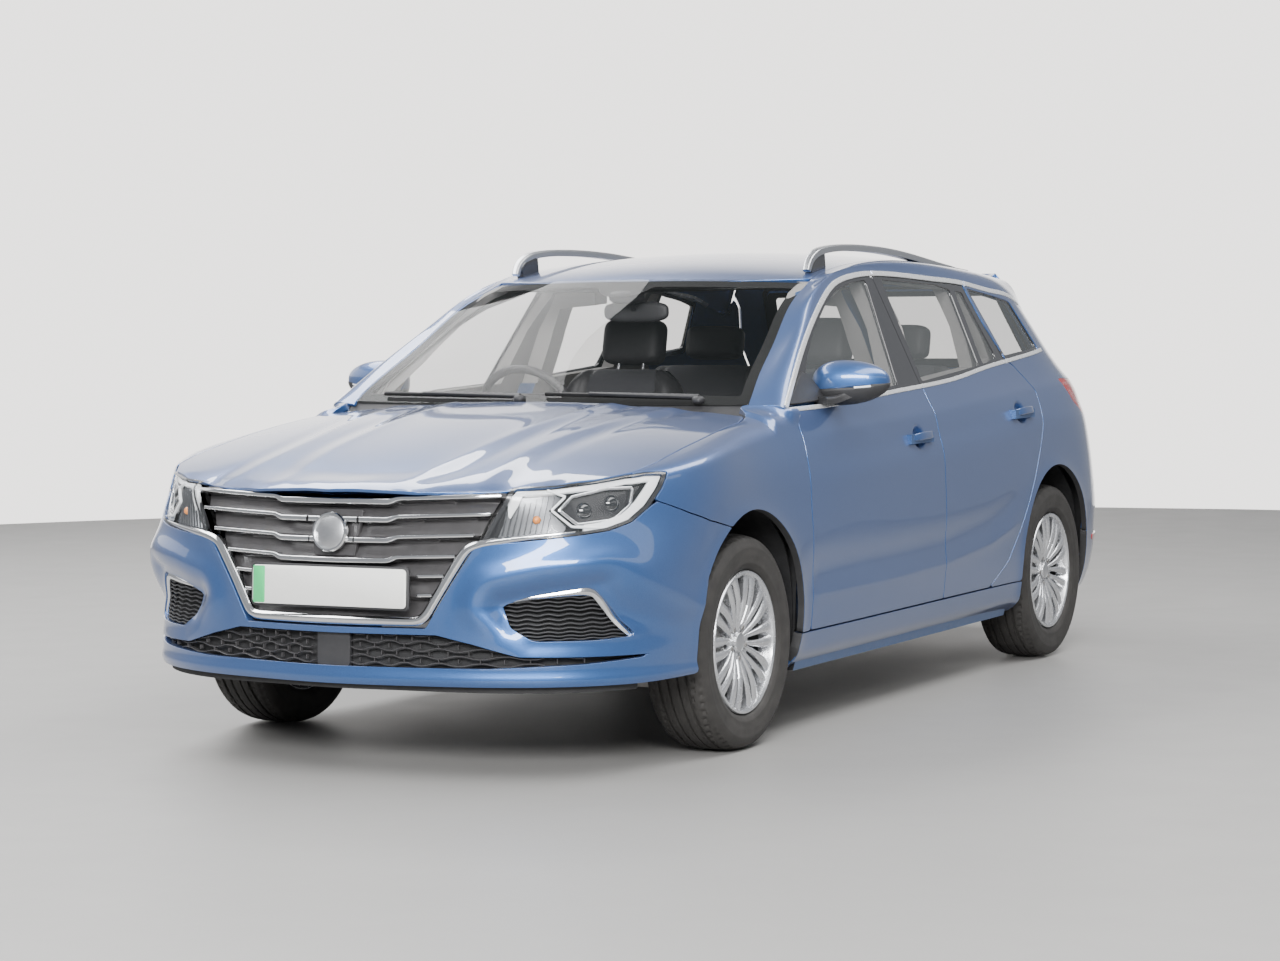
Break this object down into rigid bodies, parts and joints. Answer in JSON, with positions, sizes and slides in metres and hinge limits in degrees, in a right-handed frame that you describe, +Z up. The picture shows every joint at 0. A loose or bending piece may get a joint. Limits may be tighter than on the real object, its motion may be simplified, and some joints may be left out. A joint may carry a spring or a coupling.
{
  "type": "station wagon",
  "caption": "Five-door station wagon with hinged doors, bonnet and tailgate, nose charging flap, roof rails, steered front wheels and an open cabin and load space.",
  "frame": {"origin": "on the ground, midway along and across the car", "axes": "+Z up, -Y towards the nose, +X towards the car's left side"},
  "size_m": [2.05, 4.6058, 1.5429],
  "materials": {
    "paint": "metallic blue, clear-coated",
    "bumper_paint": "plastic painted in the body's metallic blue",
    "steel": "pressed steel",
    "underbody": "black primer",
    "glass": "clear, faintly tinted",
    "lamp": "clear lens over a dark housing",
    "tail_lens": "red lens",
    "chrome": "polished",
    "black_gloss": "gloss black",
    "black_plastic": "grained black",
    "tyre": "tread rubber",
    "alloy": "silver lacquer",
    "rail": "satin silver",
    "iron": "machined and cast iron",
    "seat": "dark upholstery",
    "casing": "cast casing"
  },
  "bodies": {
    "body": {"side_frame_left": "paint", "side_frame_right": "paint", "roof_panel": "paint", "front_wing_left": "paint", "front_wing_right": "paint", "quarter_panel_left": "paint", "quarter_panel_right": "paint", "front_bumper": "bumper_paint", "rear_bumper": "bumper_paint", "grille": "black_gloss", "lower_intake": "black_plastic", "headlamps": "lamp", "tail_lamps": "tail_lens", "windscreen": "glass", "quarter_glass": "glass", "roof_rails": "rail", "floor_pan": "underbody", "bulkhead": "underbody", "wheelhouses_front": "black_plastic", "wheelhouses_rear": "black_plastic", "front_subframe": "underbody", "rear_axle": "underbody", "battery_pack": "casing", "drive_motor": "casing", "front_seats": "seat", "rear_seat": "seat", "dashboard": "black_plastic", "steering_column": "black_plastic", "wipers": "black_plastic"},
    "bonnet": {"bonnet": "paint"},
    "tailgate": {"tailgate": "paint", "tailgate_glass": "glass"},
    "charge_flap": {"charge_flap": "black_gloss"},
    "steering_wheel": {"steering_wheel": "black_plastic"},
    "knuckle_left": {"knuckle_left": "iron"},
    "knuckle_right": {"knuckle_right": "iron"},
    "front_door_left": {"front_door_left": "paint", "front_door_glass_left": "glass", "door_mirror_left": "bumper_paint"},
    "rear_door_left": {"rear_door_left": "paint", "rear_door_glass_left": "glass"},
    "front_door_right": {"front_door_right": "paint", "front_door_glass_right": "glass", "door_mirror_right": "bumper_paint"},
    "rear_door_right": {"rear_door_right": "paint", "rear_door_glass_right": "glass"},
    "wheel_front_left": {"wheel_front_left": "alloy", "tyre_front_left": "tyre"},
    "wheel_front_right": {"wheel_front_right": "alloy", "tyre_front_right": "tyre"},
    "wheel_rear_left": {"wheel_rear_left": "alloy", "tyre_rear_left": "tyre"},
    "wheel_rear_right": {"wheel_rear_right": "alloy", "tyre_rear_right": "tyre"}
  },
  "joints": [
    {"name": "front_door_left_hinge", "type": "hinge", "parent": "body", "child": "front_door_left", "pos_m": [0.886, -0.862, 0.7], "axis": [0, 0, -1], "range_deg": [0, 68]},
    {"name": "rear_door_left_hinge", "type": "hinge", "parent": "body", "child": "rear_door_left", "pos_m": [0.886, 0.249, 0.7], "axis": [0, 0, -1], "range_deg": [0, 70]},
    {"name": "steer_left", "type": "hinge", "parent": "body", "child": "knuckle_left", "pos_m": [0.715, -1.362, 0.326], "axis": [0, 0, 1], "range_deg": [-33, 33]},
    {"name": "wheel_front_left_spin", "type": "hinge", "parent": "knuckle_left", "child": "wheel_front_left", "pos_m": [0.785, -1.362, 0.326], "axis": [1, 0, 0], "continuous": true},
    {"name": "wheel_rear_left_spin", "type": "hinge", "parent": "body", "child": "wheel_rear_left", "pos_m": [0.787, 1.303, 0.326], "axis": [1, 0, 0], "continuous": true},
    {"name": "front_door_right_hinge", "type": "hinge", "parent": "body", "child": "front_door_right", "pos_m": [-0.886, -0.862, 0.7], "axis": [0, 0, 1], "range_deg": [0, 68]},
    {"name": "rear_door_right_hinge", "type": "hinge", "parent": "body", "child": "rear_door_right", "pos_m": [-0.886, 0.249, 0.7], "axis": [0, 0, 1], "range_deg": [0, 70]},
    {"name": "steer_right", "type": "hinge", "parent": "body", "child": "knuckle_right", "pos_m": [-0.715, -1.362, 0.326], "axis": [0, 0, 1], "range_deg": [-33, 33]},
    {"name": "wheel_front_right_spin", "type": "hinge", "parent": "knuckle_right", "child": "wheel_front_right", "pos_m": [-0.785, -1.362, 0.326], "axis": [1, 0, 0], "continuous": true},
    {"name": "wheel_rear_right_spin", "type": "hinge", "parent": "body", "child": "wheel_rear_right", "pos_m": [-0.787, 1.303, 0.326], "axis": [1, 0, 0], "continuous": true},
    {"name": "steering_wheel_turn", "type": "hinge", "parent": "body", "child": "steering_wheel", "pos_m": [-0.37, -0.457, 0.96], "axis": [0, 0.9135, 0.4067], "range_deg": [-480, 480]},
    {"name": "bonnet_hinge", "type": "hinge", "parent": "body", "child": "bonnet", "pos_m": [0, -1.103, 1.05], "axis": [-1, 0, 0], "range_deg": [0, 50]},
    {"name": "tailgate_hinge", "type": "hinge", "parent": "body", "child": "tailgate", "pos_m": [0, 1.626, 1.454], "axis": [1, 0, 0], "range_deg": [0, 75]},
    {"name": "charge_flap_hinge", "type": "hinge", "parent": "body", "child": "charge_flap", "pos_m": [0, -2.262, 0.769], "axis": [-1, 0, 0], "range_deg": [0, 85]}
  ],
  "couplings": [
    {"joint": "steer_right", "follows": "steer_left", "ratio": 1},
    {"joint": "steering_wheel_turn", "follows": "steer_left", "ratio": 14.5}
  ]
}
